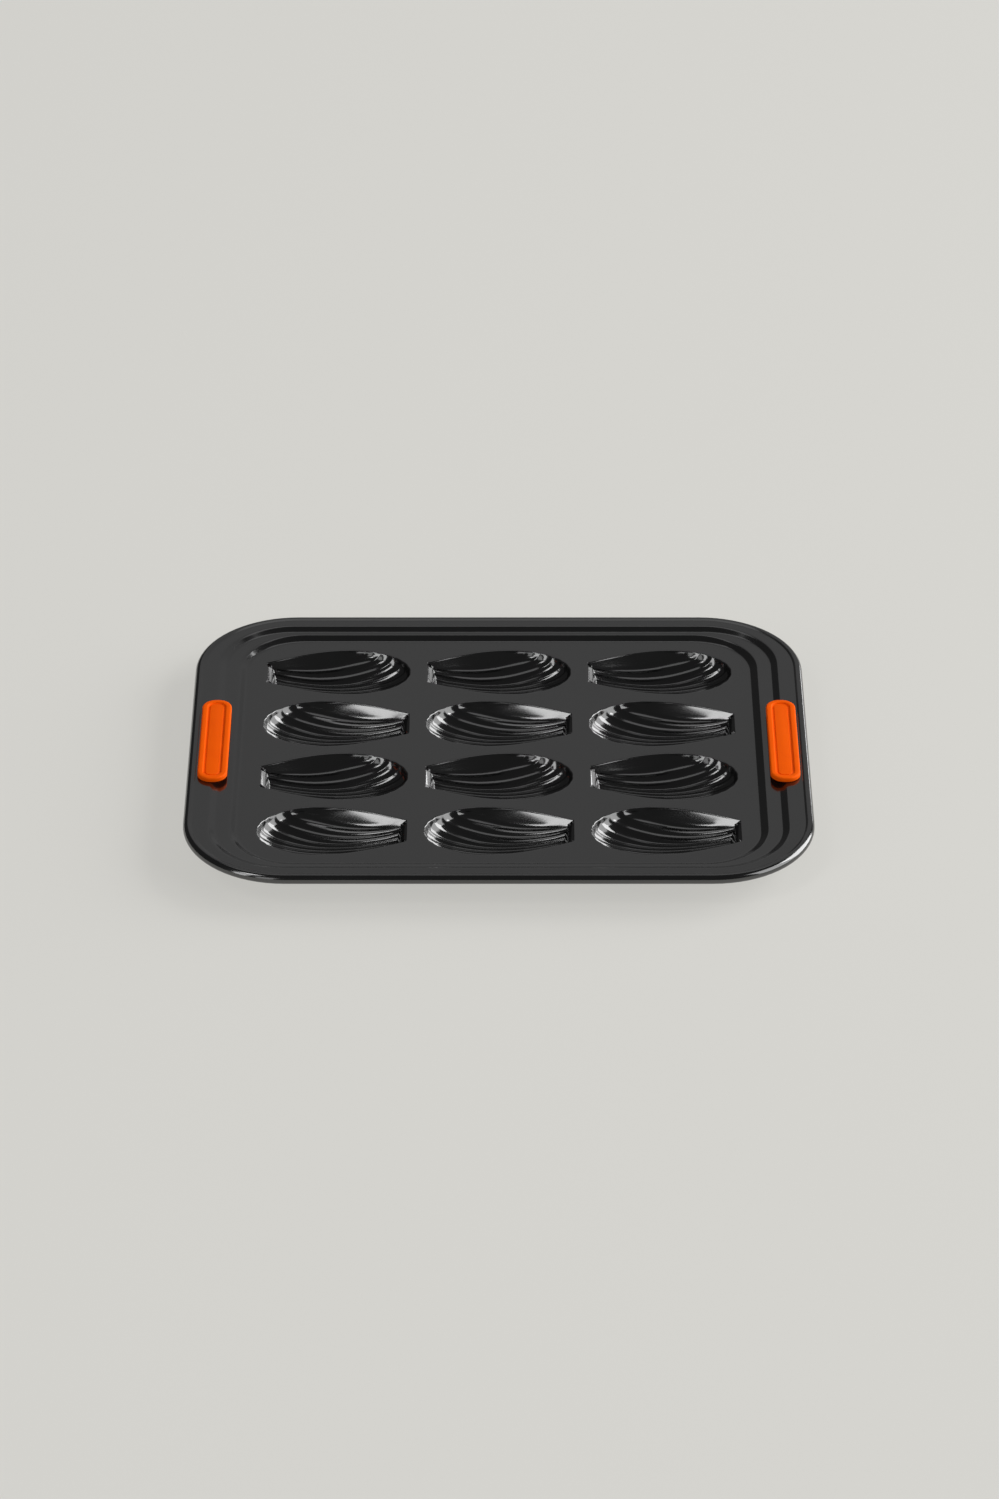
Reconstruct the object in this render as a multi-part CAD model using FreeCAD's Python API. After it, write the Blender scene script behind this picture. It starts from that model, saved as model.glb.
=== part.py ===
import FreeCAD, Part
import math
import os

os.makedirs("parts", exist_ok=True)
V = FreeCAD.Vector

# Madeleine pan, millimetres. X is the long side, Y the short side, +Z up, and the pan stands on
# the bottoms of its shells at Z = 0. One steel pressing with fluted shells, a wire in its curled
# edge, and two moulded grips that are buttoned through slots in the short sides.

# Sheet and shell pattern
sheet = 0.9               # thickness of the pressed steel
columns = 3               # shells along X
rows = 4                  # shells along Y
webX = 9.9                # flat deck between neighbours along X
webY = 8.6                # flat deck between neighbours along Y
marginX = 11.0            # deck from the outer shells to the border along X
marginY = 9.5             # deck from the outer shells to the border along Y

# One shell: narrow blunt end, fanned flutes, rounded wide end
shellLength = 81.5
shellWidth = 47.0
shellDepth = 14.2         # deck to the deepest ridge
bluntWidth = 21.0         # mouth at the blunt end
bluntDepth = 9.1          # depth at the foot of the blunt end
bluntRun = 5.2            # lean of the blunt end wall
tipReach = 34.5           # from the widest point to the tip of the wide end
deepest = 0.5             # share of a ridge's run where it is deepest
endCurl = 2.1             # how squarely a ridge turns up at the wide end
floorShare = 0.38         # share of the half fan that lies on the flat floor, with straight sides above
sideEven = 1.4            # spacing of the ridges up a straight side
sideRun = 0.55            # share of a ridge's run where the straight sides start to curve
pinch = 0.37              # how much closer the middle ridges lie halfway along than at the wide end
pinchRun = 0.6            # how soon they close in from the two ends
flutes = 12
fluteDepth = 1.3          # how far the floor of a flute lies beyond its two ridges
smoothFlutes = 2          # on each side, smooth until near the wide end
fluteStart = 0.72         # share of a ridge's run where these begin
outerShare = 0.4          # depth of the outermost one, as a share of a full one
lipCalm = 0.7             # how much of a flute has faded at the wide lip
lipFade = 0.03            # share of a ridge's run over which it fades
footFlat = 0.3            # pressed flat on the lowest flutes, where the pan stands

# Two-step border, wider at the short sides
lowStep = 2.4             # deck up to the ledge
highStep = 2.1            # ledge up to the flange
stepRun = 4.0             # plan width of each sloping step
ledgeX = 7.6
ledgeY = 2.8
flangeX = 8.7             # flat of the flange, up to the curled edge
flangeY = 5.5
deckCorner = 32.0         # corner radii of the deck, the ledge and the flange
ledgeCorner = 38.0
flangeCorner = 52.0

# Curled edge and the wire in it
curlRadius = 3.0
curlProud = 0.8           # top of the curl above the flange
curlEnd = 235.0           # degrees from the top of the curl round to its free edge
wireClearance = 0.1

# Grips
gripLength = 83.0
gripOuter = 7.8           # reach onto the flange, from the top of the high step
gripInner = 4.7           # reach over the ledge, from the foot of the high step
gripRise = 2.9            # above the flange
gripCorner = 7.6
gripEdge = 0.8            # bevel round the upper edge
gripBorder = 2.8          # raised border round the sunk panel
panelSink = 0.8
slotLength = 60.0
slotWidth = 3.0
slotInset = 1.6           # from the top of the high step to the slot
neckClearance = 0.2       # round the neck in its slot
lipOverlap = 1.5          # how far the lower lip reaches past the slot
lipThickness = 1.8
seatClearance = 0.1       # between the silicone and the sheet

# Sections that the lofts run through
shellSections = 6
outerFacets = 7           # bands round the outside of the curl
innerFacets = 8           # bands round its inside
wireFacets = 8

# Levels, with the upper face of the deck at zero until the pan is set down
flangeTop = lowStep + highStep
curlZ = flangeTop + curlProud - curlRadius
curlInner = curlRadius - sheet
gripTop = flangeTop + gripRise

# Plan half sizes, from the shells outwards
pitchX = shellLength + webX
pitchY = shellWidth + webY
deck = (columns * pitchX - webX) / 2 + marginX, (rows * pitchY - webY) / 2 + marginY
ledgeIn = deck[0] + stepRun, deck[1] + stepRun
ledgeOut = ledgeIn[0] + ledgeX, ledgeIn[1] + ledgeY
flangeIn = ledgeOut[0] + stepRun, ledgeOut[1] + stepRun

# The flange runs into the curl this far inside the curl's centre line, above and below
topJoin = math.sqrt(curlRadius ** 2 - (flangeTop - curlZ) ** 2)
lowJoin = math.sqrt(curlInner ** 2 - (flangeTop - sheet - curlZ) ** 2)
curlLine = flangeIn[0] + flangeX + topJoin, flangeIn[1] + flangeY + topJoin
curlCorner = flangeCorner + topJoin

# The wire clears the flat bands inside the curl
innerStart = -math.degrees(math.asin(lowJoin / curlInner))
innerBand = math.radians(curlEnd - innerStart) / innerFacets
wireRadius = curlInner * math.cos(innerBand / 2) - wireClearance


def ease(share):
    # From 0 to 1 with soft ends
    share = min(1, max(0, share))
    return share * share * (3 - 2 * share)


def fluteSwell(s, t):
    # Share by which a flute stands out from its ridges, for t from 0 to 1 across the fan
    fromSide = flutes * (0.5 - abs(t - 0.5))
    shown = 1 - lipCalm * (1 - ease((1 - s) / lipFade))
    if fromSide < smoothFlutes:
        shown *= ease((s - fluteStart) / (1 - fluteStart))
    if fromSide < 1:
        shown *= outerShare
    return shown * fluteDepth / (shellWidth / 2) * abs(math.sin(flutes * math.pi * t))


def section(s, t):
    # Shares of the half width and of the depth, across a shell: a trough with a flat floor and
    # straight sides, which turns round towards the wide end
    angle = math.pi * (t - 0.5)
    closer = pinch * abs(math.sin(math.pi * s)) ** pinchRun
    out = math.sin(angle) * (1 - closer * math.cos(angle))
    up = max(0, 2 * abs(t - 0.5) - floorShare) / (1 - floorShare)
    turned = ease((s - sideRun) / (1 - sideRun))
    down = (1 - turned) * max(0, 1 - up) ** sideEven + turned * math.cos(angle)
    return out, down


def ridgeDepth(s):
    # Depth along a ridge: down from the blunt end, level, then up round the wide end
    if s < deepest:
        return bluntDepth + (shellDepth - bluntDepth) * math.sin(math.pi / 2 * s / deepest)
    return shellDepth * math.sqrt(1 - ((s - deepest) / (1 - deepest)) ** endCurl)


def shellPoint(s, t, wall):
    # A point of a shell: s runs from the blunt end to the wide lip, t across the fan.
    # wall is 0 on the inside, and the sheet's thickness on the outside.
    angle = math.pi * (t - 0.5)
    swell = fluteSwell(s, t)
    out, down = section(s, t)
    foot = bluntRun * down * (1 + swell) - wall
    lip = shellLength - tipReach + (tipReach + wall) * math.cos(angle)
    bulge = swell * tipReach * math.cos(angle) * s ** 3
    half = bluntWidth / 2 + (shellWidth - bluntWidth) / 2 * math.sin(math.pi / 2 * s) + wall
    x = foot + s * (lip - foot) + bulge - shellLength / 2
    y = half * (1 + swell) * out
    z = -ridgeDepth(s) * (1 + swell) * down - wall
    return V(x, y, z)


def facet(*corners):
    return Part.Face(Part.makePolygon(list(corners) + [corners[0]]))


def shellSkin(wall):
    # One side of a shell: two runs of facets per flute, the blunt end wall, and its mouth
    sections = []
    for k in range(shellSections):
        s = math.sin(math.pi / 2 * k / (shellSections - 1))
        sections.append([shellPoint(s, n / (2 * flutes), wall) for n in range(2 * flutes + 1)])
    faces = [facet(*sections[0])]
    for here, there in zip(sections, sections[1:]):
        for n in range(flutes):
            faces.append(facet(here[n], here[n + 1], there[n]))
            faces.append(facet(here[n + 1], there[n + 1], there[n]))
        for n in range(flutes, 2 * flutes):
            faces.append(facet(here[n], here[n + 1], there[n + 1]))
            faces.append(facet(here[n], there[n + 1], there[n]))
    sides = [[points[end] for points in sections] for end in (0, -1)]
    mouth = sides[0] + sections[-1][1:-1] + sides[1][::-1] + sides[0][:1]
    return faces, Part.makePolygon(mouth)


def shellPattern(wall):
    # Every shell, turned about from row to row
    faces, mouth = shellSkin(wall)
    skins = []
    mouths = []
    for r in range(rows):
        for c in range(columns):
            x = (c - (columns - 1) / 2) * pitchX
            y = ((rows - 1) / 2 - r) * pitchY
            place = FreeCAD.Placement(V(x, y, 0), FreeCAD.Rotation(V(0, 0, 1), 180 * (r % 2)))
            skins += [f.transformed(place.Matrix, True) for f in faces]
            mouths.append(mouth.transformed(place.Matrix, True))
    return skins, mouths


def ring(half, radius, z):
    # Rounded rectangle at a height
    centreX = half[0] - radius
    centreY = half[1] - radius
    edges = []
    last = None
    for k, (x, y) in enumerate([(1, 1), (-1, 1), (-1, -1), (1, -1), (1, 1)]):
        turn = [math.radians(90 * k + part) for part in (0, 45, 90)]
        centre = V(x * centreX, y * centreY, z)
        arc = [centre + V(math.cos(a), math.sin(a), 0) * radius for a in turn]
        if last and last.distanceToPoint(arc[0]) > 1e-6:
            edges.append(Part.makeLine(last, arc[0]))
        if k < 4:
            edges.append(Part.Arc(*arc).toShape())
        last = arc[2]
    return Part.Wire(edges)


def bands(rings):
    # Faces between each ring and the next: a flat one on a level, and otherwise a ruled loft
    faces = []
    for inside, outside in zip(rings, rings[1:]):
        if abs(inside.BoundBox.ZMin - outside.BoundBox.ZMin) < 1e-6:
            faces.append(Part.makeFace([inside, outside], "Part::FaceMakerBullseye"))
        else:
            faces += Part.makeLoft([inside, outside], False, True).Faces
    return faces


def sewn(faces):
    # One solid from all the faces of its skin
    skin = Part.makeCompound(faces)
    skin.sewShape()
    solid = Part.Solid(skin.Shells[0])
    if solid.Volume < 0:
        solid.reverse()
    return solid


def curlRing(radius, degrees):
    # Ring of the curl's skin, degrees counted outwards from its top
    a = math.radians(degrees)
    out = radius * math.sin(a)
    half = curlLine[0] + out, curlLine[1] + out
    return ring(half, curlCorner + out, curlZ + radius * math.cos(a))


def curlRings(radius, join, facets):
    # Rings round one side of the curl, from the flange to the free edge
    start = -math.degrees(math.asin(join / radius))
    return [curlRing(radius, start + (curlEnd - start) * k / facets) for k in range(facets + 1)]


def borderRings(wall):
    # Deck edge, ledge and flange of one side of the sheet
    return [
        ring(deck, deckCorner, -wall),
        ring(ledgeIn, deckCorner + stepRun, lowStep - wall),
        ring(ledgeOut, ledgeCorner, lowStep - wall),
        ring(flangeIn, ledgeCorner + stepRun, flangeTop - wall),
    ]


def slotBlock(length, width, z, height):
    # Upright block with round ends, lying along Y at the slot
    x = flangeIn[0] + slotInset + slotWidth / 2
    return roundBlock(x - width / 2, x + width / 2, length, width / 2, z, height)


def roundBlock(x0, x1, length, corner, z, height):
    # Upright block along Y with rounded corners
    plan = ring(((x1 - x0) / 2, length / 2), corner, z)
    plan.translate(V((x0 + x1) / 2, 0, 0))
    return Part.Face(plan).extrude(V(0, 0, height))


def bothSides(solid):
    # The solid at the right-hand short side and its twin at the left
    twin = solid.copy()
    twin.rotate(V(), V(0, 0, 1), 180)
    return solid, twin


def panPressing():
    # Both sides of the sheet, sewn into one solid, with a slot for each grip
    faces = []
    for wall in (0, sheet):
        skins, mouths = shellPattern(wall)
        edge = ring(deck, deckCorner, -wall)
        faces += skins + [Part.makeFace([edge] + mouths, "Part::FaceMakerBullseye")]
    curl = curlRings(curlRadius, topJoin, outerFacets) + curlRings(curlInner, lowJoin, innerFacets)[::-1]
    rings = borderRings(0) + curl + borderRings(sheet)[::-1]
    solid = sewn(faces + bands(rings))
    slot = slotBlock(slotLength, slotWidth, flangeTop - 2 * sheet, 3 * sheet)
    for cutter in bothSides(slot):
        solid = solid.cut(cutter)
    return solid


def rimWire():
    # Closed loop of wire, a little loose in the curl
    rings = [curlRing(wireRadius, 360 * k / wireFacets) for k in range(wireFacets)]
    return sewn(bands(rings + rings[:1]))


def grip():
    # Flat pad on the flange and over the high step, with a sunk panel, and a neck and lip below the slot
    inner = ledgeOut[0] - gripInner
    outer = flangeIn[0] + gripOuter
    seat = flangeTop + seatClearance
    pad = roundBlock(inner, outer, gripLength, gripCorner, seat, gripTop - seat)
    rim = [e for e in pad.Edges if min(v.Z for v in e.Vertexes) > gripTop - seatClearance]
    pad = pad.makeChamfer(gripEdge, rim)
    panelLength = gripLength - 2 * gripBorder
    panelCorner = gripCorner - gripBorder
    panel = roundBlock(
        inner + gripBorder, outer - gripBorder, panelLength, panelCorner, gripTop - panelSink, gripRise
    )
    lipTop = flangeTop - sheet - seatClearance
    neckWidth = slotWidth - 2 * neckClearance
    neckLength = slotLength - 2 * neckClearance
    neck = slotBlock(neckLength, neckWidth, lipTop, sheet + 2 * seatClearance)
    lipWidth = slotWidth + 2 * lipOverlap
    lip = slotBlock(slotLength + 2 * lipOverlap, lipWidth, lipTop - lipThickness, lipThickness)
    return pad.cut(panel).multiFuse([neck, lip]).removeSplitter()


def setDown(shapes, drop):
    for shape in shapes:
        shape.translate(V(0, 0, drop))


pan = panPressing()
wire = rimWire()
gripRight, gripLeft = bothSides(grip())
drop = -pan.optimalBoundingBox(False, False).ZMin - footFlat
setDown([pan, wire, gripRight, gripLeft], drop)
floorHalf = V(2 * curlLine[0], 2 * curlLine[1], 0)
below = Part.makeBox(2 * floorHalf.x, 2 * floorHalf.y, shellDepth, -floorHalf - V(0, 0, shellDepth))
pan = pan.cut(below)

nodes = {"pan": pan, "rim_wire": wire, "grip_left": gripLeft, "grip_right": gripRight}
for name, shape in nodes.items():
    solid = shape.Solids[0]
    solid.exportStep("parts/" + name + ".step")
    box = solid.optimalBoundingBox(False, False)
    size = [round(v, 2) for v in (box.XLength, box.YLength, box.ZLength, box.ZMin)]
    print(name, len(shape.Solids), solid.isValid(), round(solid.Volume, 1), size)
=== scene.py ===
import bmesh
import bpy
import math
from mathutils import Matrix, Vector


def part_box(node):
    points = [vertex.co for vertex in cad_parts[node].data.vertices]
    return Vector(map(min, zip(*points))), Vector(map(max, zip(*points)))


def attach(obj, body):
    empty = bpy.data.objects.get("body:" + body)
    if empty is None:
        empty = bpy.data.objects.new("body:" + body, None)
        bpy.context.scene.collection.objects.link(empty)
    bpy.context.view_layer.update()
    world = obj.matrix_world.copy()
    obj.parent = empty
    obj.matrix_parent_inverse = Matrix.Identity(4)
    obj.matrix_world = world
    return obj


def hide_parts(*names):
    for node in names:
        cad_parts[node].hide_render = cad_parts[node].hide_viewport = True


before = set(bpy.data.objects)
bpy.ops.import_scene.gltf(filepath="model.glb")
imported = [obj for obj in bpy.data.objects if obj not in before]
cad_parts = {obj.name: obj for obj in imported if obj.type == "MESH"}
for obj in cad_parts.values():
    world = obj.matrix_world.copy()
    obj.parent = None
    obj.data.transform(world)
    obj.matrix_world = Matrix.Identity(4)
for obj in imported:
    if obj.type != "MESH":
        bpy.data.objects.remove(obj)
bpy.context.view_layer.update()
panLow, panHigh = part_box("pan")


# Node sums, so that a rule reads as a formula

class nodeField:
    def __init__(self, tree, socket):
        self.tree = tree
        self.socket = socket

    def calc(self, operation, *others, clamp=False):
        node = self.tree.nodes.new("ShaderNodeMath")
        node.operation = operation
        node.use_clamp = clamp
        for slot, value in zip(node.inputs, (self,) + others):
            if isinstance(value, nodeField):
                self.tree.links.new(value.socket, slot)
            else:
                slot.default_value = value
        return nodeField(self.tree, node.outputs[0])

    def __add__(self, other):
        return self.calc("ADD", other)

    def __sub__(self, other):
        return self.calc("SUBTRACT", other)

    def __rsub__(self, other):
        return self.calc("MULTIPLY_ADD", -1.0, other)

    def __mul__(self, other):
        return self.calc("MULTIPLY", other)

    def __truediv__(self, other):
        return self.calc("DIVIDE", other)

    def __pow__(self, other):
        return self.calc("POWER", other)

    __radd__ = __add__
    __rmul__ = __mul__

    def sin(self):
        return self.calc("SINE")

    def cos(self):
        return self.calc("COSINE")

    def root(self):
        return self.calc("SQRT")

    def size(self):
        return self.calc("ABSOLUTE")

    def share(self):                       # kept between 0 and 1
        return self.calc("ADD", 0.0, clamp=True)

    def ease(self):                        # a share with soft ends
        return self * self * (3.0 - self * 2.0)

    def over(self, limit):                 # 1 above the limit, 0 below
        return self.calc("GREATER_THAN", limit)


def blend(a, b, share):                    # from a to b, coordinate by coordinate
    return [p + share * (q - p) for p, q in zip(a, b)]


def arc(a, b, c, share):                   # bends from a to c, pulled towards b
    return blend(blend(a, b, share), blend(b, c, share), share)


def newTree(name, sizes):                  # a geometry tree with one named input for each size
    tree = bpy.data.node_groups.new(name, "GeometryNodeTree")
    for label, value in sizes.items():
        kind = "NodeSocketInt" if isinstance(value, int) else "NodeSocketFloat"
        tree.interface.new_socket(label, in_out="INPUT", socket_type=kind)
    tree.interface.new_socket("surface", in_out="INPUT", socket_type="NodeSocketMaterial")
    tree.interface.new_socket("piece", in_out="OUTPUT", socket_type="NodeSocketGeometry")
    entry = tree.nodes.new("NodeGroupInput")
    fields = {label: nodeField(tree, entry.outputs[label]) for label in sizes}
    return tree, entry, fields


def plug(tree, node, **values):            # feeds a node's sockets, named with _ for a space
    for label, value in values.items():
        socket = node.inputs[label.replace("_", " ")]
        if isinstance(value, nodeField):
            value = value.socket
        if isinstance(value, bpy.types.NodeSocket):
            tree.links.new(value, socket)
        else:
            socket.default_value = value
    return node


def addNode(tree, kind, **values):         # a new node's first output
    return plug(tree, tree.nodes.new(kind), **values).outputs[0]


mergeWithin = 0.0000002                    # only points that coincide become one


def endTree(tree, entry, geometry):        # every tree ends in plain geometry with its finish
    realized = addNode(tree, "GeometryNodeRealizeInstances", Geometry=geometry)
    merged = addNode(tree, "GeometryNodeMergeByDistance", Geometry=realized, Distance=mergeWithin)
    painted = addNode(tree, "GeometryNodeSetMaterial", Geometry=merged, Material=entry.outputs["surface"])
    tree.links.new(painted, tree.nodes.new("NodeGroupOutput").inputs["piece"])


def runTree(tree, sizes, material):        # the tree's result as a plain mesh
    holder = bpy.data.objects.new(tree.name, bpy.data.meshes.new(tree.name))
    bpy.context.scene.collection.objects.link(holder)
    modifier = holder.modifiers.new("nodes", "NODES")
    modifier.node_group = tree
    for item in tree.interface.items_tree:
        if item.in_out == "INPUT":
            modifier[item.identifier] = material if item.name == "surface" else sizes[item.name]
    depsgraph = bpy.context.evaluated_depsgraph_get()
    mesh = bpy.data.meshes.new_from_object(holder.evaluated_get(depsgraph))
    holder.modifiers.clear()
    bpy.data.objects.remove(holder)
    return mesh


# Finishes

def paint(name):                           # a fresh material with its shader and Object coordinates
    material = bpy.data.materials.new(name)
    material.use_nodes = True
    tree = material.node_tree
    shader = tree.nodes["Principled BSDF"]
    place = tree.nodes.new("ShaderNodeTexCoord").outputs["Object"]
    return material, tree, shader, place


grainMix = {
    "cloudDetail": 3.0,
    "grainDetail": 2.0,
    "roughness": 0.6,
    "cloudTone": 0.65,       # share of the clouds in the tone, where the rest is grain
    "grainHeight": 0.8,      # share of the grain in the height, where the rest is clouds
}


def grainGroup():                          # cloudy tone and fine surface grain, shared by all finishes
    group = bpy.data.node_groups.new("surfaceGrain", "ShaderNodeTree")
    for label, kind in (("place", "Vector"), ("cloudScale", "Float"), ("grainScale", "Float")):
        group.interface.new_socket(label, in_out="INPUT", socket_type="NodeSocket" + kind)
    for label in ("tone", "height"):
        group.interface.new_socket(label, in_out="OUTPUT", socket_type="NodeSocketFloat")
    entry = group.nodes.new("NodeGroupInput")
    noises = []
    for kind in ("cloud", "grain"):
        noise = addNode(
            group, "ShaderNodeTexNoise", Vector=entry.outputs["place"], Scale=entry.outputs[kind + "Scale"],
            Detail=grainMix[kind + "Detail"], Roughness=grainMix["roughness"],
        )
        noises.append(nodeField(group, noise))
    cloud, grain = noises
    tone = cloud * grainMix["cloudTone"] + grain * (1 - grainMix["cloudTone"])
    height = grain * grainMix["grainHeight"] + cloud * (1 - grainMix["grainHeight"])
    plug(group, group.nodes.new("NodeGroupOutput"), tone=tone, height=height)
    return group


surfaceGrain = grainGroup()


def grained(tree, shader, place, look):    # tone, roughness and bump from the shared grain
    grain = tree.nodes.new("ShaderNodeGroup")
    grain.node_tree = surfaceGrain
    plug(tree, grain, place=place, cloudScale=look["cloudScale"], grainScale=look["grainScale"])
    tone = grain.outputs["tone"]
    colour = tree.nodes.new("ShaderNodeMix")
    colour.data_type = "RGBA"
    tree.links.new(tone, colour.inputs["Factor"])
    colour.inputs[6].default_value = (*look["dark"], 1)  # 6 and 7 are the node's pair of colours
    colour.inputs[7].default_value = (*look["light"], 1)
    tree.links.new(colour.outputs[2], shader.inputs["Base Color"])
    rough = nodeField(tree, tone) * look["roughSpread"] + look["rough"]
    tree.links.new(rough.socket, shader.inputs["Roughness"])
    bump = tree.nodes.new("ShaderNodeBump")
    plug(tree, bump, Strength=look["bump"], Distance=look["bumpDepth"], Height=grain.outputs["height"])
    tree.links.new(bump.outputs[0], shader.inputs["Normal"])


coatingLook = {
    "dark": (0.0022, 0.0022, 0.0023),
    "light": (0.0046, 0.0046, 0.0047),
    "rough": 0.11,
    "roughSpread": 0.05,
    "cloudScale": 60.0,
    "grainScale": 1400.0,
    "bump": 0.03,
    "bumpDepth": 0.00003,
    "index": 2.0,
}


def coatingFinish():                       # baked-on non-stick coating, charcoal with a soft gloss
    material, tree, shader, place = paint("charcoalCoating")
    grained(tree, shader, place, coatingLook)
    shader.inputs["IOR"].default_value = coatingLook["index"]
    return material


siliconeLook = {
    "dark": (0.90, 0.090, 0.0),
    "light": (1.0, 0.130, 0.0),
    "rough": 0.5,
    "roughSpread": 0.14,
    "cloudScale": 90.0,
    "grainScale": 2200.0,
    "bump": 0.2,
    "bumpDepth": 0.00008,
    "index": 1.4,
    "shine": 0.08,
}


def siliconeFinish():                      # moulded silicone, matt with a fine skin
    material, tree, shader, place = paint("orangeSilicone")
    grained(tree, shader, place, siliconeLook)
    shader.inputs["IOR"].default_value = siliconeLook["index"]
    shader.inputs["Specular IOR Level"].default_value = siliconeLook["shine"]
    return material


wireLook = {
    "dark": (0.42, 0.41, 0.40),
    "light": (0.60, 0.59, 0.57),
    "rough": 0.25,
    "roughSpread": 0.2,
    "cloudScale": 40.0,
    "grainScale": 900.0,
    "bump": 0.15,
    "bumpDepth": 0.00005,
}


def wireFinish():                          # plain drawn steel
    material, tree, shader, place = paint("drawnWire")
    shader.inputs["Metallic"].default_value = 1.0
    grained(tree, shader, place, wireLook)
    return material


coating = coatingFinish()
silicone = siliconeFinish()
steel = wireFinish()
print("finishes ready")


# Fluted shells of the pressing: one grid bent by a rule, and set out in turned-about rows

shell = {
    "columns": 3,
    "rows": 4,
    "pitchX": 0.0914,
    "pitchY": 0.0556,
    "length": 0.0815,
    "width": 0.047,
    "depth": 0.0141,
    "bluntWidth": 0.021,
    "bluntDepth": 0.0091,
    "bluntRun": 0.0044,      # lean of the blunt end wall
    "kneeRun": 0.56,         # share of that lean above the wall's knee, and the wall is steeper below it
    "kneeDepth": 0.27,       # share of the depth above the knee
    "kneeMost": 0.6,         # highest share of a short wall that lies above the knee
    "floorBlunt": 0.43,      # share of the half width that is flat floor at the blunt end
    "floorWide": 0.344,      # and where it is deepest
    "floorBend": 0.12,       # softness of the bend up to the straight sides
    "sideRun": 0.55,         # share of a ridge's run where the straight sides start to curve
    "pinch": 0.43,           # how much closer the middle ridges lie halfway along
    "pinchRun": 0.6,         # how soon they close in from the two ends
    "tipReach": 0.0345,      # from the widest point to the tip
    "deepest": 0.5,          # share of a ridge's run where it is deepest
    "endCurl": 2.1,          # how squarely a ridge turns up at the wide end
    "flutes": 12,
    "fluteDepth": 0.0012,
    "sideDeeper": 0.7,       # the flutes are deeper on the straight sides, by this share,
    "sideRise": 3.0,         # which they reach this quickly above the floor,
    "endShallower": 0.25,    # and shallower where they turn up round the wide end
    "bulgeRun": 3.0,         # how late along a ridge the flutes push the wide end out
    "ridgeRound": 0.12,      # softness of a ridge, as a share of the flute
    "smoothFlutes": 2.0,     # on each side, smooth until near the wide end
    "sideStart": 0.72,       # share along a ridge where these begin
    "outerShare": 0.4,       # depth of the outermost one, as a share of a full one
    "panelBow": 0.0023,      # the smooth panel stands back from its ridge,
    "panelCurl": 0.3,        # and curls up to it over this share of its height,
    "panelStart": 0.2,       # from this share along a ridge
    "lipCalm": 0.7,          # how much the flutes fade towards the lip
    "lipFade": 0.03,         # share of a ridge's run over which they fade
    "lipDrop": 0.0006,       # the lip's rounding starts this far below the deck
    "sideInset": 0.0002,     # and this far inside the outline, at the sides and at the ends
    "endInset": 0.0005,
    "kneeRound": 0.25,       # rounding of the knee, as a share of the wall's two parts
    "endRound": 0.08,        # rounding at the foot of the blunt wall, as a share of its lower part
    "endRun": 0.008,         # and as a share along the ridges
    "acrossSteps": 84,
    "rowCrowd": 0.6,         # how much these steps crowd together at the ridges
    "wallRows": 1,
    "kneeRows": 3,
    "lowRows": 1,
    "cornerRows": 3,
    "floorRows": 20,
}


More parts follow.
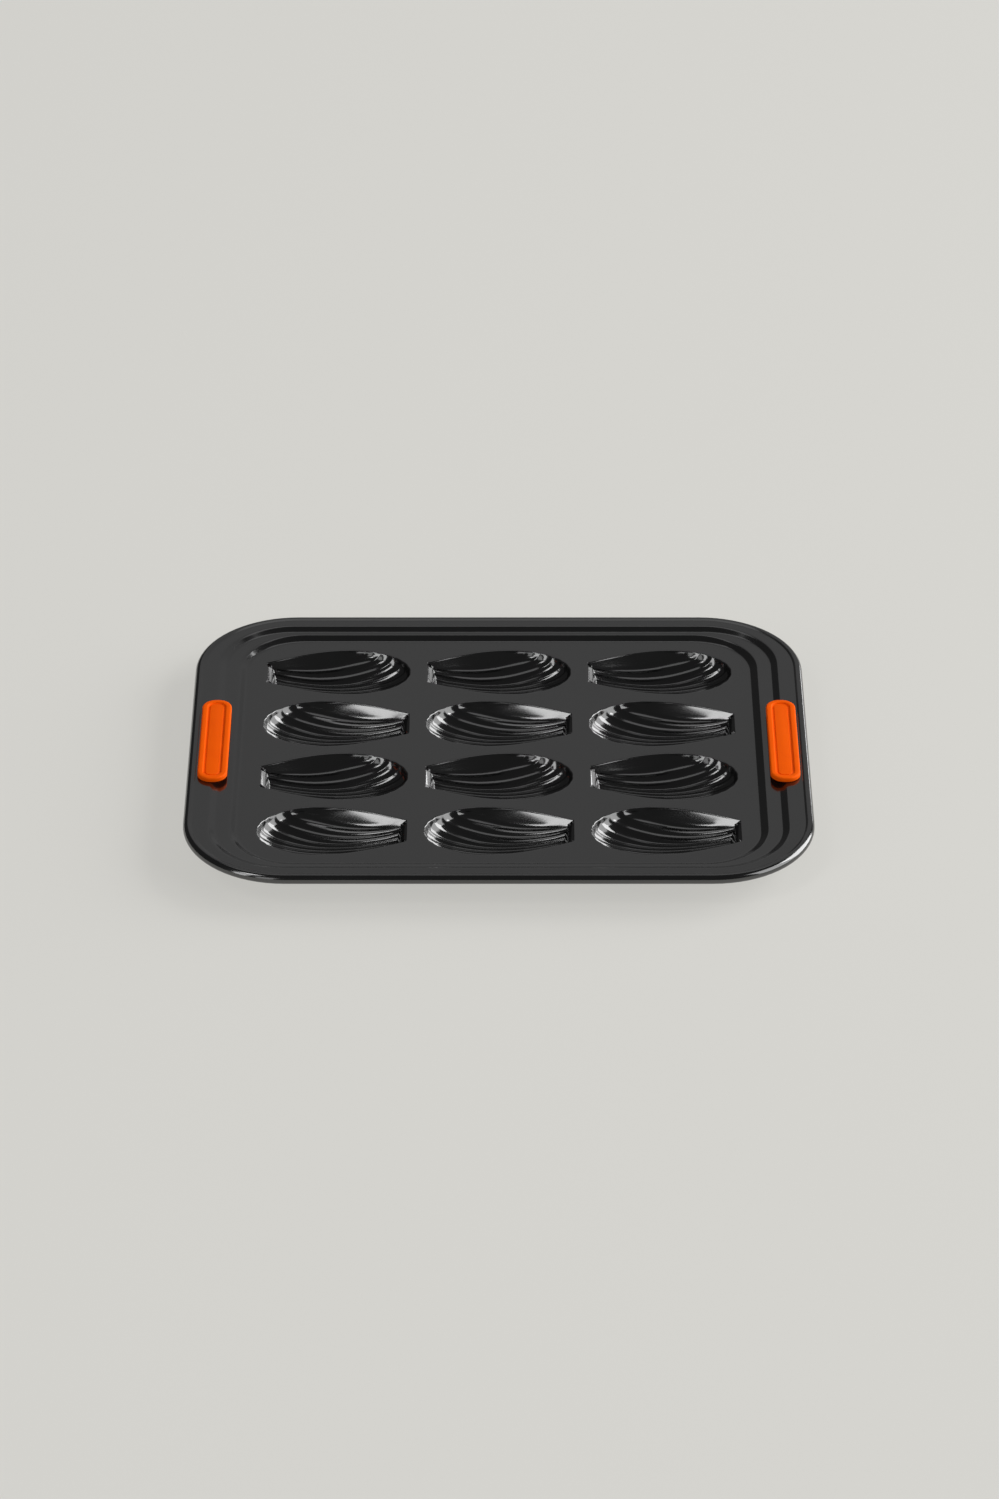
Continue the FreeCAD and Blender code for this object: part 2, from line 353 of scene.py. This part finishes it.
def shellPattern():
    tree, entry, f = newTree("shellPattern", shell)
    lip = f["lipDrop"]
    length = f["length"] - f["endInset"] * 2.0
    width, bluntWidth = [f[label] - f["sideInset"] * 2.0 for label in ("width", "bluntWidth")]
    depth, bluntDepth = [f[label] - lip for label in ("depth", "bluntDepth")]
    tipReach = f["tipReach"] - f["endInset"]
    alongRows = f["wallRows"] + f["kneeRows"] + f["lowRows"] + f["cornerRows"] + f["floorRows"]

    flat = addNode(
        tree, "GeometryNodeMeshGrid", Size_X=1.0, Size_Y=1.0,
        Vertices_X=alongRows + 1.0, Vertices_Y=f["acrossSteps"] + 1.0,
    )
    split = tree.nodes.new("ShaderNodeSeparateXYZ")
    tree.links.new(tree.nodes.new("GeometryNodeInputPosition").outputs[0], split.inputs[0])
    row = (nodeField(tree, split.outputs["X"]) + 0.5) * alongRows
    across = nodeField(tree, split.outputs["Y"]) + 0.5

    turn = f["flutes"] * (2 * math.pi)
    t = across - (across * turn).sin() * f["rowCrowd"] / turn
    angle = (t - 0.5) * math.pi
    cosAngle = angle.cos().share()
    sinAngle = angle.sin()
    soft = f["ridgeRound"]
    wave = (t * f["flutes"] * math.pi).sin()
    crest = ((wave * wave + soft * soft).root() - soft) / ((soft * soft + 1.0).root() - soft)
    aside = (t - 0.5).size()
    fromSide = (0.5 - aside) * f["flutes"]
    side = 1.0 - fromSide.over(f["smoothFlutes"])
    outermost = 1.0 - fromSide.over(1.0)
    panelUp = (1.0 - fromSide / f["smoothFlutes"]).share()
    curled = 1.0 - (panelUp / f["panelCurl"]).share()
    bow = (1.0 - curled * curled) * (1.0 - panelUp) * side * f["panelBow"] / f["fluteDepth"]
    soften = f["floorBend"] ** 2.0

    def wallRun(down):                     # how far the blunt wall has leaned back at a share of its depth
        above = down.calc("MINIMUM", f["kneeDepth"]) / f["kneeDepth"]
        below = (down - f["kneeDepth"]).calc("MAXIMUM", 0.0) / (1.0 - f["kneeDepth"])
        return (above * f["kneeRun"] + below * (1.0 - f["kneeRun"])) * f["bluntRun"]

    def shellPoint(s):                     # s from the blunt end to the wide lip
        grow = ((s - f["sideStart"]) / (1.0 - f["sideStart"])).share().ease()
        calm = 1.0 - (1.0 - ((1.0 - s) / f["lipFade"]).share().ease()) * f["lipCalm"]
        closer = f["pinch"] * (s * math.pi).sin().share() ** f["pinchRun"]
        out = sinAngle * (1.0 - closer * cosAngle)
        turned = ((s - f["sideRun"]) / (1.0 - f["sideRun"])).share().ease()
        early = (s / f["deepest"]).share()
        floorEdge = f["floorBlunt"] + (f["floorWide"] - f["floorBlunt"]) * early
        beyond = 1.0 - (1.0 - out.size()) / (1.0 - floorEdge)
        up = (beyond + (beyond * beyond + soften).root()) / ((soften + 1.0).root() + 1.0)
        down = (1.0 - turned) * (1.0 - up).share() + turned * cosAngle
        fluted = crest * (1.0 - side * (1.0 - grow)) * (1.0 - outermost * (1.0 - f["outerShare"]))
        deeper = (up * f["sideRise"]).share() * (1.0 - turned) * f["sideDeeper"]
        fluted = fluted * (1.0 + deeper - turned * f["endShallower"])
        bowed = bow * (1.0 - grow) * (s / f["panelStart"]).share().ease()
        swell = (fluted + bowed) * calm * f["fluteDepth"] / (width * 0.5)
        foot = wallRun(down * (swell + 1.0))
        lipX = length - tipReach + tipReach * cosAngle
        bulge = swell * tipReach * cosAngle * s ** f["bulgeRun"]
        half = bluntWidth * 0.5 + (width - bluntWidth) * 0.5 * (s * (math.pi / 2)).sin()
        late = ((s - f["deepest"]) / (1.0 - f["deepest"])).share()
        fall = bluntDepth + (depth - bluntDepth) * (early * (math.pi / 2)).sin()
        rise = (1.0 - late ** f["endCurl"]).share().root()
        return [
            foot + s * (lipX - foot) + bulge - length * 0.5,
            half * (swell + 1.0) * out,
            fall * rise * (swell + 1.0) * down * -1.0 - lip,
        ]

    zero = t * 0.0
    corner = shellPoint(zero)
    wallTop = [length * -0.5, corner[1], zero - lip]
    wallDown = (corner[2] + lip) / bluntDepth * -1.0
    kneeDown = (wallDown * f["kneeMost"]).calc("MINIMUM", f["kneeDepth"])
    knee = [wallTop[0] + wallRun(kneeDown), corner[1], wallTop[2] - bluntDepth * kneeDown]
    kneeStart = blend(knee, wallTop, f["kneeRound"])
    kneeEnd = blend(knee, corner, f["kneeRound"])
    wallEnd = blend(corner, knee, f["endRound"])
    floorStart = shellPoint(zero + f["endRun"])

    def done(before, label):               # share of one run of rows that lies behind this row
        return ((row - before) / f[label]).share()

    bendAt = f["wallRows"]
    lowAt = bendAt + f["kneeRows"]
    footAt = lowAt + f["lowRows"]
    floorAt = footAt + f["cornerRows"]
    onFloor = (done(floorAt, "floorRows") * (math.pi / 2)).sin()   # rows crowd towards the wide lip
    runs = [
        (wallTop, blend(wallTop, kneeStart, done(zero, "wallRows"))),
        (kneeStart, arc(kneeStart, knee, kneeEnd, done(bendAt, "kneeRows"))),
        (kneeEnd, blend(kneeEnd, wallEnd, done(lowAt, "lowRows"))),
        (wallEnd, arc(wallEnd, corner, floorStart, done(footAt, "cornerRows"))),
        (floorStart, shellPoint(f["endRun"] + (1.0 - f["endRun"]) * onFloor)),
    ]
    point = list(wallTop)
    for start, here in runs:               # each run adds its way from where it starts
        point = [p + b - a for p, a, b in zip(point, start, here)]
    placed = addNode(tree, "ShaderNodeCombineXYZ", X=point[0], Y=point[1], Z=point[2])
    cup = addNode(tree, "GeometryNodeSetPosition", Geometry=flat, Position=placed)

    layout = addNode(
        tree, "GeometryNodeMeshGrid",
        Size_X=f["pitchX"] * (f["columns"] - 1.0), Size_Y=f["pitchY"] * (f["rows"] - 1.0),
        Vertices_X=f["columns"], Vertices_Y=f["rows"],
    )
    fromBack = (f["rows"] - 1.0) * 0.5 - nodeField(tree, split.outputs["Y"]) / f["pitchY"]
    halfTurn = fromBack.calc("ROUND").calc("MODULO", 2.0) * math.pi    # every other row faces the other way
    euler = addNode(tree, "ShaderNodeCombineXYZ", Z=halfTurn)
    facing = addNode(tree, "FunctionNodeEulerToRotation", Euler=euler)
    placedCups = addNode(
        tree, "GeometryNodeInstanceOnPoints", Points=layout, Instance=cup, Rotation=facing
    )
    endTree(tree, entry, placedCups)
    return tree


cups = runTree(shellPattern(), shell, coating)
print("shells:", len(cups.vertices), "points")


# The rest of the pressing: lips, deck, two-step border, flange and curled edge

pan = {
    "sheet": 0.0009,
    "webX": 0.0099,
    "webY": 0.0086,
    "marginX": 0.0110,
    "marginY": 0.0095,
    "deckCorner": 0.032,
    "deckRun": 0.02,         # flat deck before the low step
    "stepRun": 0.0040,
    "lowStep": 0.0024,
    "highStep": 0.0021,
    "ledgeX": 0.0076,
    "ledgeY": 0.0028,
    "ledgeCorner": 0.038,
    "beadProud": 0.0008,
    "curlDrop": 0.003,       # from the top of the pan to the centre of the curl
    "curlRadius": 0.00291,
    "curlCorner": 0.0540,
    "curlStart": 24.0,       # degrees from the valley to the first row on the curl
    "curlEnd": 235.0,        # degrees from the top of the curl to its free edge
    "valleyTurn": 12.0,      # degrees from the valley to where its rounding heads for
    "lipSmooth": 0.0022,     # how widely the scallops fade out across the lip
    "smoothTail": 3,         # points further off than so many of these widths don't count
    "lipReach": 0.0015,      # from a shell's mouth to the flat of the deck
    "lipRows": 4,
    "leanLeast": 0.5,        # a wall that rises less than this share of its run gets no lean
    "leanPasses": 4,         # rounds of evening out the lean along the lip
    "hold": 0.0004,          # narrow flat row beside a rounding, which keeps the flats flat
    "stepRound": 0.0011,
    "valleyRound": 0.0010,
    "roundMost": 0.45,       # share of a run that one rounding may take up
    "roundRows": 4,
    "curlRows": 18,
    "cornerSteps": 18,
    "sideSteps": 5,
    "slotLength": 0.060,
    "slotWidth": 0.003,
    "slotInset": 0.0016,
    "slotRound": 0.98,       # radius of its ends, as a share of half the width
    "slotSteps": 6,
    "slotSides": 2,
}

curlZ = panHigh.z - pan["curlDrop"]
flangeTop = panHigh.z - pan["beadProud"]
ledgeTop = flangeTop - pan["highStep"]
deckTop = ledgeTop - pan["lowStep"]
curlLine = Vector((panHigh.x - pan["curlRadius"], panHigh.y - pan["curlRadius"]))
deckHalf = Vector((
    (shell["columns"] * shell["pitchX"] - pan["webX"]) / 2 + pan["marginX"],
    (shell["rows"] * shell["pitchY"] - pan["webY"]) / 2 + pan["marginY"],
))
stepOut = Vector((pan["stepRun"], pan["stepRun"]))
ledgeIn = deckHalf + stepOut
ledgeOut = ledgeIn + Vector((pan["ledgeX"], pan["ledgeY"]))
flangeIn = ledgeOut + stepOut


def ring(halfX, halfY, radius, z, centre=(0, 0), steps=pan["cornerSteps"], sides=pan["sideSteps"]):
    points = []                            # rounded rectangle, anticlockwise from the right-hand side
    corners = ((1, 1), (-1, 1), (-1, -1), (1, -1))

    def onCorner(x, y, degrees):
        middle = Vector((x * (halfX - radius) + centre[0], y * (halfY - radius) + centre[1], z))
        a = math.radians(degrees)
        return middle + radius * Vector((math.cos(a), math.sin(a), 0))

    for k, corner in enumerate(corners):
        points += [onCorner(*corner, 90 * (k + n / steps)) for n in range(steps + 1)]
        first = points[-1]
        last = onCorner(*corners[(k + 1) % 4], 90 * (k + 1))
        points += [first.lerp(last, n / sides) for n in range(1, sides)]
    return points


def pulled(a, b, c, u):                    # the point at u on a curve from a to c, pulled towards b
    return a * (1 - u) ** 2 + b * (2 * u * (1 - u)) + c * u ** 2


def addLoop(bm, points):
    return [bm.verts.new(p) for p in points]


def joinLoops(bm, inner, outer):           # a band of quads between two closed loops
    for k in range(len(inner)):
        after = (k + 1) % len(inner)
        bm.faces.new((inner[k], outer[k], outer[after], inner[after]))


def loopEdges(bm, loop):
    edges = []
    for k, vert in enumerate(loop):
        after = loop[(k + 1) % len(loop)]
        edges.append(bm.edges.get((vert, after)) or bm.edges.new((vert, after)))
    return edges


def fillFlat(bm, loops):                   # one flat stretch of sheet with holes
    edges = [edge for loop in loops for edge in loopEdges(bm, loop)]
    bmesh.ops.triangle_fill(bm, use_beauty=True, use_dissolve=False, edges=edges, normal=(0, 0, 1))


def mouthLoops(bm):                        # the open edges of the shells, one closed loop each
    neighbours = {}
    for edge in bm.edges:
        if edge.is_boundary:
            for vert in edge.verts:
                neighbours.setdefault(vert, []).append(edge.other_vert(vert))
    loops = []
    while neighbours:
        start = next(iter(neighbours))
        loop = [start]
        here = neighbours.pop(start)[0]
        while here is not start:
            loop.append(here)
            ahead = neighbours.pop(here)
            here = next(v for v in ahead if v in neighbours or v is start and len(loop) > 2)
        area = sum(a.co.x * b.co.y - b.co.x * a.co.y for a, b in zip(loop, loop[1:] + loop[:1]))
        loops.append(loop if area > 0 else loop[::-1])
    return loops


def smoothOutline(loop, spread):           # plan outline with the scallops averaged out
    points = [v.co.xy for v in loop]
    count = len(points)
    spans = [(points[(k + 1) % count] - points[k]).length for k in range(count)]
    smooth = []
    for k in range(count):
        total = Vector((0, 0))
        weight = 0
        for way in (1, -1):
            far = 0
            n = 0
            while far < pan["smoothTail"] * spread and n < count // 2:
                here = (k + way * n) % count
                reach = (spans[here] + spans[here - 1]) / 2
                share = reach * math.exp(-0.5 * (far / spread) ** 2)
                if n == 0:
                    share /= 2             # the point itself comes up both ways
                total += points[here] * share
                weight += share
                far += spans[here] if way > 0 else spans[here - 1]
                n += 1
        smooth.append(total / weight)
    return smooth


def roundedLip(bm, loop):                  # bends the top of a shell's wall over onto the deck
    outline = smoothOutline(loop, pan["lipSmooth"])
    onLoop = set(loop)
    count = len(loop)
    starts = [vert.co.copy() for vert in loop]
    leans, ends, outs = [], [], []
    for k, vert in enumerate(loop):
        along = outline[(k + 1) % count] - outline[k - 1]
        outs.append(Vector((along.y, -along.x, 0)).normalized())
        below = [e.other_vert(vert).co for e in vert.link_edges if e.other_vert(vert) not in onLoop]
        rise = vert.co - sum(below, Vector()) / len(below) if below else Vector((0, 0, 1))
        tooFlat = rise.z < pan["leanLeast"] * rise.length
        leans.append(Vector((0, 0)) if tooFlat else rise.xy / rise.z)
        ends.append(Vector((*outline[k], 0)) + outs[k] * pan["lipReach"])
    for _ in range(pan["leanPasses"]):
        leans = [(leans[k - 1] + leans[k] + leans[(k + 1) % count]) / 3 for k in range(count)]
    knees = [Vector((*(p.xy - lean * p.z), 0)) for p, lean in zip(starts, leans)]
    last = loop
    for n in range(1, pan["lipRows"] + 1):
        u = n / pan["lipRows"]
        fresh = addLoop(bm, [pulled(a, b, c, u) for a, b, c in zip(starts, knees, ends)])
        joinLoops(bm, last, fresh)
        last = fresh
    held = addLoop(bm, [p + out * pan["hold"] for p, out in zip(ends, outs)])
    joinLoops(bm, last, held)
    return held


def station(half, radius, z):              # one line of the border: half sizes, corner radius, height
    return Vector((half.x, half.y, radius, z))


def rounding(before, knee, after, reach):  # a run of stations that bends round a knee
    def towards(other):
        span = max(abs(other[0] - knee[0]), abs(other[1] - knee[1]))
        return knee.lerp(other, min(pan["roundMost"], reach / span))
    a = towards(before)
    b = towards(after)
    steps = [n / pan["roundRows"] for n in range(pan["roundRows"] + 1)]
    return [pulled(a, knee, b, u) for u in steps]


def curlStation(degrees):                  # degrees from the top of the curl, outwards
    a = math.radians(degrees)
    out = pan["curlRadius"] * math.sin(a)
    z = curlZ + pan["curlRadius"] * math.cos(a) - deckTop
    return Vector((curlLine.x + out, curlLine.y + out, pan["curlCorner"] + out, z))


def stationLoop(bm, place):
    return addLoop(bm, ring(place[0], place[1], place[2], place[3]))


def border(bm):                            # from the deck out to the free edge of the curl
    low = pan["lowStep"]
    top = low + pan["highStep"]
    deckEdge = station(deckHalf, pan["deckCorner"], 0)
    ledgeFoot = station(ledgeIn, pan["deckCorner"] + pan["stepRun"], low)
    ledgeEdge = station(ledgeOut, pan["ledgeCorner"], low)
    flangeFoot = station(flangeIn, pan["ledgeCorner"] + pan["stepRun"], top)
    joinAngle = math.degrees(math.acos((flangeTop - curlZ) / pan["curlRadius"]))
    valley = curlStation(-joinAngle)
    flangeWidth = curlLine.y - flangeIn.y  # where it is narrowest
    outward = Vector((1, 1, 1, 0))
    reach = pan["stepRound"]
    inDeck = deckEdge - outward * (reach + pan["hold"])
    lower = [inDeck] + rounding(inDeck - outward * pan["deckRun"], deckEdge, ledgeFoot, reach)
    lower += rounding(deckEdge, ledgeFoot, ledgeEdge, reach)
    lower += rounding(ledgeFoot, ledgeEdge, flangeFoot, reach)
    lower += rounding(ledgeEdge, flangeFoot, valley, reach)
    lower.append(flangeFoot.lerp(valley, (reach + pan["hold"]) / flangeWidth))
    dip = rounding(flangeFoot, valley, curlStation(pan["valleyTurn"] - joinAngle), pan["valleyRound"])
    onCurl = [dip[0].lerp(flangeFoot, pan["hold"] / flangeWidth)] + dip[:-1]
    first = pan["curlStart"] - joinAngle
    for k in range(pan["curlRows"] + 1):
        onCurl.append(curlStation(first + (pan["curlEnd"] - first) * k / pan["curlRows"]))
    loops = []
    for run in (lower, onCurl):
        made = [stationLoop(bm, place) for place in run]
        for inner, outer in zip(made, made[1:]):
            joinLoops(bm, inner, outer)
        loops.append((made[0], made[-1]))
    slots = [addLoop(bm, slotRing(side, pan["slotLength"], pan["slotWidth"], top)) for side in (1, -1)]
    fillFlat(bm, [loops[0][1], loops[1][0]] + slots)
    return loops[0][0]


def slotRing(side, length, width, z):      # round-ended slot beside the high step
    x = side * (flangeIn.x + pan["slotInset"] + pan["slotWidth"] / 2)
    radius = width / 2 * pan["slotRound"]
    return ring(width / 2, length / 2, radius, z, (x, 0), pan["slotSteps"], pan["slotSides"])


creaseAngle = 50.0                         # degrees, beyond which an edge stays sharp


def finishMesh(bm, name, material, crease=creaseAngle):
    mesh = bpy.data.meshes.new(name)
    bm.to_mesh(mesh)
    bm.free()
    mesh.materials.clear()
    mesh.materials.append(material)
    mesh.shade_smooth()
    mesh.set_sharp_from_angle(angle=math.radians(crease))
    piece = bpy.data.objects.new(name, mesh)
    bpy.context.scene.collection.objects.link(piece)
    return piece


def applied(piece):                        # modifiers worked into a plain mesh
    depsgraph = bpy.context.evaluated_depsgraph_get()
    mesh = bpy.data.meshes.new_from_object(piece.evaluated_get(depsgraph))
    piece.modifiers.clear()
    piece.data = mesh
    return mesh


def panPressing():
    bm = bmesh.new()
    bm.from_mesh(cups)
    holes = [roundedLip(bm, loop) for loop in mouthLoops(bm)]
    fillFlat(bm, [border(bm)] + holes)
    bmesh.ops.recalc_face_normals(bm, faces=bm.faces)
    if sum(face.normal.z * face.calc_area() for face in bm.faces) < 0:
        bmesh.ops.reverse_faces(bm, faces=bm.faces)
    bmesh.ops.translate(bm, verts=bm.verts, vec=(0, 0, deckTop))
    piece = finishMesh(bm, "pan_pressing", coating)
    wall = piece.modifiers.new("sheet", "SOLIDIFY")
    wall.thickness = pan["sheet"]
    wall.offset = -1
    wall.use_quality_normals = True
    mesh = applied(piece)
    for vert in mesh.vertices:             # the lowest flutes are pressed flat where the pan stands
        vert.co.z = max(vert.co.z, panLow.z)
    mesh.set_sharp_from_angle(angle=math.radians(creaseAngle))
    return piece


pressing = panPressing()
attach(pressing, "root")
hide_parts("pan")
print("pressing:", len(pressing.data.polygons), "faces")


# Wire inside the curl: a round section run along a rounded rectangle

wire = {
    "halfX": curlLine.x,
    "halfY": curlLine.y,
    "corner": pan["curlCorner"],
    "radius": 0.00185,
    "level": curlZ,
    "cornerSteps": 20,
    "sectionSteps": 14,
}


def wirePath():
    tree, entry, f = newTree("wirePath", wire)
    frameLine = addNode(
        tree, "GeometryNodeCurvePrimitiveQuadrilateral", Width=f["halfX"] * 2.0, Height=f["halfY"] * 2.0
    )
    corners = tree.nodes.new("GeometryNodeFilletCurve")
    corners.mode = "POLY"
    line = plug(tree, corners, Curve=frameLine, Radius=f["corner"], Count=f["cornerSteps"]).outputs[0]
    section = addNode(
        tree, "GeometryNodeCurvePrimitiveCircle", Radius=f["radius"], Resolution=f["sectionSteps"]
    )
    tube = addNode(tree, "GeometryNodeCurveToMesh", Curve=line, Profile_Curve=section)
    lift = addNode(tree, "ShaderNodeCombineXYZ", Z=f["level"])
    raised = addNode(tree, "GeometryNodeTransform", Geometry=tube, Translation=lift)
    endTree(tree, entry, raised)
    return tree


def rimWire():
    bm = bmesh.new()
    bm.from_mesh(runTree(wirePath(), wire, steel))
    bmesh.ops.recalc_face_normals(bm, faces=bm.faces)
    return finishMesh(bm, "rim_wire_loop", steel)


loopWire = rimWire()
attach(loopWire, "root")
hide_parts("rim_wire")
print("wire:", len(loopWire.data.polygons), "faces")


# Grips: a flat pad over the high step, with a neck and a lip below the slot

grip = {
    "corner": 0.0076,
    "edge": 0.0010,          # rounding of the upper edge
    "lowEdge": 0.0004,       # and of the lower one
    "border": 0.0032,        # raised border round the sunk panel
    "borderRound": 0.0005,
    "panelSink": 0.0008,
    "panelRound": 0.0003,
    "groove": 0.0007,        # sunk floor between the border and the inner field
    "fieldRise": 0.0004,
    "fieldRound": 0.0003,
    "seat": 0.0001,          # clearance to the sheet
    "neckGap": 0.0002,
    "neckRise": 0.0003,      # top of the neck above the flange, inside the pad
    "lipReach": 0.0015,
    "lipThick": 0.0018,
    "lipEdge": 0.0005,
    "cornerSteps": 14,
    "sideSteps": 4,
    "roundRows": 5,
    "smallRows": 3,          # for the lower edge and the inner field
    "crease": 40.0,
}


def bend(start, across, up, rows, outFirst):  # quarter round as (inset, height) pairs
    pairs = []
    for n in range(1, rows + 1):
        a = math.pi / 2 * n / rows
        long, short = math.sin(a), 1 - math.cos(a)
        over, rise = (long, short) if outFirst else (short, long)
        pairs.append((start[0] + across * over, start[1] + up * rise))
    return pairs


def padProfile(seat, top):                 # (inset, height) from the seat up, over the border and into the panel
    g = grip
    rows = g["roundRows"]
    floor = top - g["panelSink"]
    grooveEnd = g["border"] + g["panelRound"] + g["groove"]
    pairs = [(g["lowEdge"], seat)]
    pairs += bend(pairs[-1], -g["lowEdge"], g["lowEdge"], g["smallRows"], True)
    pairs.append((0, top - g["edge"]))
    pairs += bend(pairs[-1], g["edge"], g["edge"], rows, False)
    pairs.append((g["border"] - g["borderRound"], top))
    pairs += bend(pairs[-1], g["borderRound"], -g["borderRound"], rows, True)
    pairs += bend((g["border"], floor + g["panelRound"]), g["panelRound"], -g["panelRound"], rows, False)
    pairs.append((grooveEnd, floor))
    pairs += bend(pairs[-1], g["fieldRound"], g["fieldRise"] / 2, g["smallRows"], True)
    pairs += bend(pairs[-1], g["fieldRound"], g["fieldRise"] / 2, g["smallRows"], False)
    return pairs


def siliconeGrip(name, node):
    low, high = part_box(node)
    side = 1 if low.x > 0 else -1
    centre = ((low.x + high.x) / 2, 0)
    halfX = (high.x - low.x) / 2
    halfY = high.y
    bm = bmesh.new()

    def padLoop(inset, z):
        return ring(
            halfX - inset, halfY - inset, grip["corner"] - inset, z, centre, grip["cornerSteps"], grip["sideSteps"]
        )

    loops = [addLoop(bm, padLoop(inset, z)) for inset, z in padProfile(flangeTop + grip["seat"], high.z)]
    for lower, upper in zip(loops, loops[1:]):
        joinLoops(bm, lower, upper)
    bm.faces.new(loops[0])
    bm.faces.new(loops[-1])
    button(bm, side)
    bmesh.ops.recalc_face_normals(bm, faces=bm.faces)
    piece = finishMesh(bm, name, silicone, grip["crease"])
    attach(piece, "root")
    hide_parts(node)
    return piece


def button(bm, side):                      # neck through the slot and the lip that holds it below
    lipTop = flangeTop - pan["sheet"] - grip["seat"]
    lipLow = lipTop - grip["lipThick"]
    neck = -grip["neckGap"]
    reach = grip["lipReach"]
    edge = grip["lipEdge"]
    stack = [(neck, flangeTop + grip["neckRise"]), (neck, lipTop), (reach - edge, lipTop)]
    stack += [(reach, lipTop - edge), (reach, lipLow + edge), (reach - edge, lipLow)]
    last = None
    for out, z in stack:
        fresh = addLoop(bm, slotRing(side, pan["slotLength"] + 2 * out, pan["slotWidth"] + 2 * out, z))
        if last:
            joinLoops(bm, last, fresh)
        else:
            bm.faces.new(fresh)
        last = fresh
    bm.faces.new(last)


gripPieces = [siliconeGrip("left_grip", "grip_left"), siliconeGrip("right_grip", "grip_right")]
print("grips:", [len(piece.data.polygons) for piece in gripPieces], "faces")


# Pale floor, soft boxes and the camera

studio = {
    "floorColour": (0.694, 0.686, 0.651),
    "floorSize": 8.0,
    "floorDrop": 0.0002,     # just below the feet, so that the two don't share a plane
    "floorGlow": 0.7,        # share of the floor's colour that doesn't depend on the lamps
    "sky": (0.06, 0.06, 0.06),
    "lampReach": 5.0,
    "elevation": 32.0,
    "distance": 3.302,
    "target": (0.00039, -0.00365, curlZ),
    "lens": 142.4,
    "clipEnd": 50.0,
}

softBoxes = {                              # degrees round from the back, up, wide and tall, and the level
    "rightBox": (67, 23.5, 38, 43, 6.2),
    "rightFrontBox": (108, 24, 44, 46, 2.8),
    "lowBackBox": (33, 4, 5, 6, 5.5),
    "leftFrontGlow": (-157, 20, 18, 34, 1.2),
    "leftLowStrip": (-131, 20, 14, 34, 3.4),
    "leftTopBox": (-127, 54, 11, 21, 5.2),
    "backPanel": (10, 38, 44, 38, 0.24),
    "backTopStrip": (0, 65, 40, 14, 0.6),
    "lowBackPanel": (14, 11, 40, 14, 0.2),
}


def paleFloor():
    bm = bmesh.new()
    bmesh.ops.create_grid(bm, x_segments=1, y_segments=1, size=studio["floorSize"] / 2)
    bmesh.ops.translate(bm, verts=bm.verts, vec=(0, 0, panLow.z - studio["floorDrop"]))
    mesh = bpy.data.meshes.new("floor")
    bm.to_mesh(mesh)
    bm.free()
    floor = bpy.data.objects.new("floor", mesh)
    bpy.context.scene.collection.objects.link(floor)
    material = bpy.data.materials.new("palePaper")
    material.use_nodes = True
    tree = material.node_tree
    tree.nodes.clear()
    glow = studio["floorGlow"]
    paper = addNode(
        tree, "ShaderNodeBsdfDiffuse", Color=[c * (1 - glow) for c in studio["floorColour"]] + [1]
    )
    path = tree.nodes.new("ShaderNodeLightPath")
    seen = nodeField(tree, path.outputs["Is Camera Ray"]) + nodeField(tree, path.outputs["Is Glossy Ray"])
    seen = (seen + nodeField(tree, path.outputs["Is Transmission Ray"])).share()
    light = addNode(
        tree, "ShaderNodeEmission", Color=[*studio["floorColour"], 1], Strength=seen * glow
    )
    both = tree.nodes.new("ShaderNodeAddShader")
    tree.links.new(paper, both.inputs[0])
    tree.links.new(light, both.inputs[1])
    tree.links.new(both.outputs[0], tree.nodes.new("ShaderNodeOutputMaterial").inputs["Surface"])
    mesh.materials.append(material)


def direction(azimuth, height):            # azimuth 0 is straight behind the pan, 90 to the right
    a = math.radians(azimuth)
    h = math.radians(height)
    return Vector((math.sin(a) * math.cos(h), math.cos(a) * math.cos(h), math.sin(h)))


def spanOf(degrees):                       # size of a lamp that fills this angle as seen from the pan
    return 2 * studio["lampReach"] * math.tan(math.radians(degrees / 2))


def softLight():
    for name, (azimuth, height, wide, tall, level) in softBoxes.items():
        lamp = bpy.data.lights.new(name, "AREA")
        lamp.shape = "RECTANGLE"
        lamp.size, lamp.size_y = spanOf(wide), spanOf(tall)
        lamp.energy = level * math.pi * lamp.size * lamp.size_y
        box = bpy.data.objects.new(name, lamp)
        box.location = direction(azimuth, height) * studio["lampReach"]
        box.rotation_euler = (-direction(azimuth, height)).to_track_quat("-Z", "Y").to_euler()
        box.visible_camera = False
        bpy.context.scene.collection.objects.link(box)
    world = bpy.data.worlds.new("studio")
    world.use_nodes = True
    world.node_tree.nodes["Background"].inputs["Color"].default_value = (*studio["sky"], 1)
    bpy.context.scene.world = world


def photoCamera():
    lens = bpy.data.cameras.new("camera")
    lens.lens = studio["lens"]
    lens.clip_end = studio["clipEnd"]
    camera = bpy.data.objects.new("camera", lens)
    back = direction(180, studio["elevation"])
    camera.location = Vector(studio["target"]) + back * studio["distance"]
    camera.rotation_euler = (-back).to_track_quat("-Z", "Y").to_euler()
    bpy.context.scene.collection.objects.link(camera)
    bpy.context.scene.camera = camera


paleFloor()
softLight()
photoCamera()
bpy.context.scene.view_settings.view_transform = "Standard"
print("studio ready")
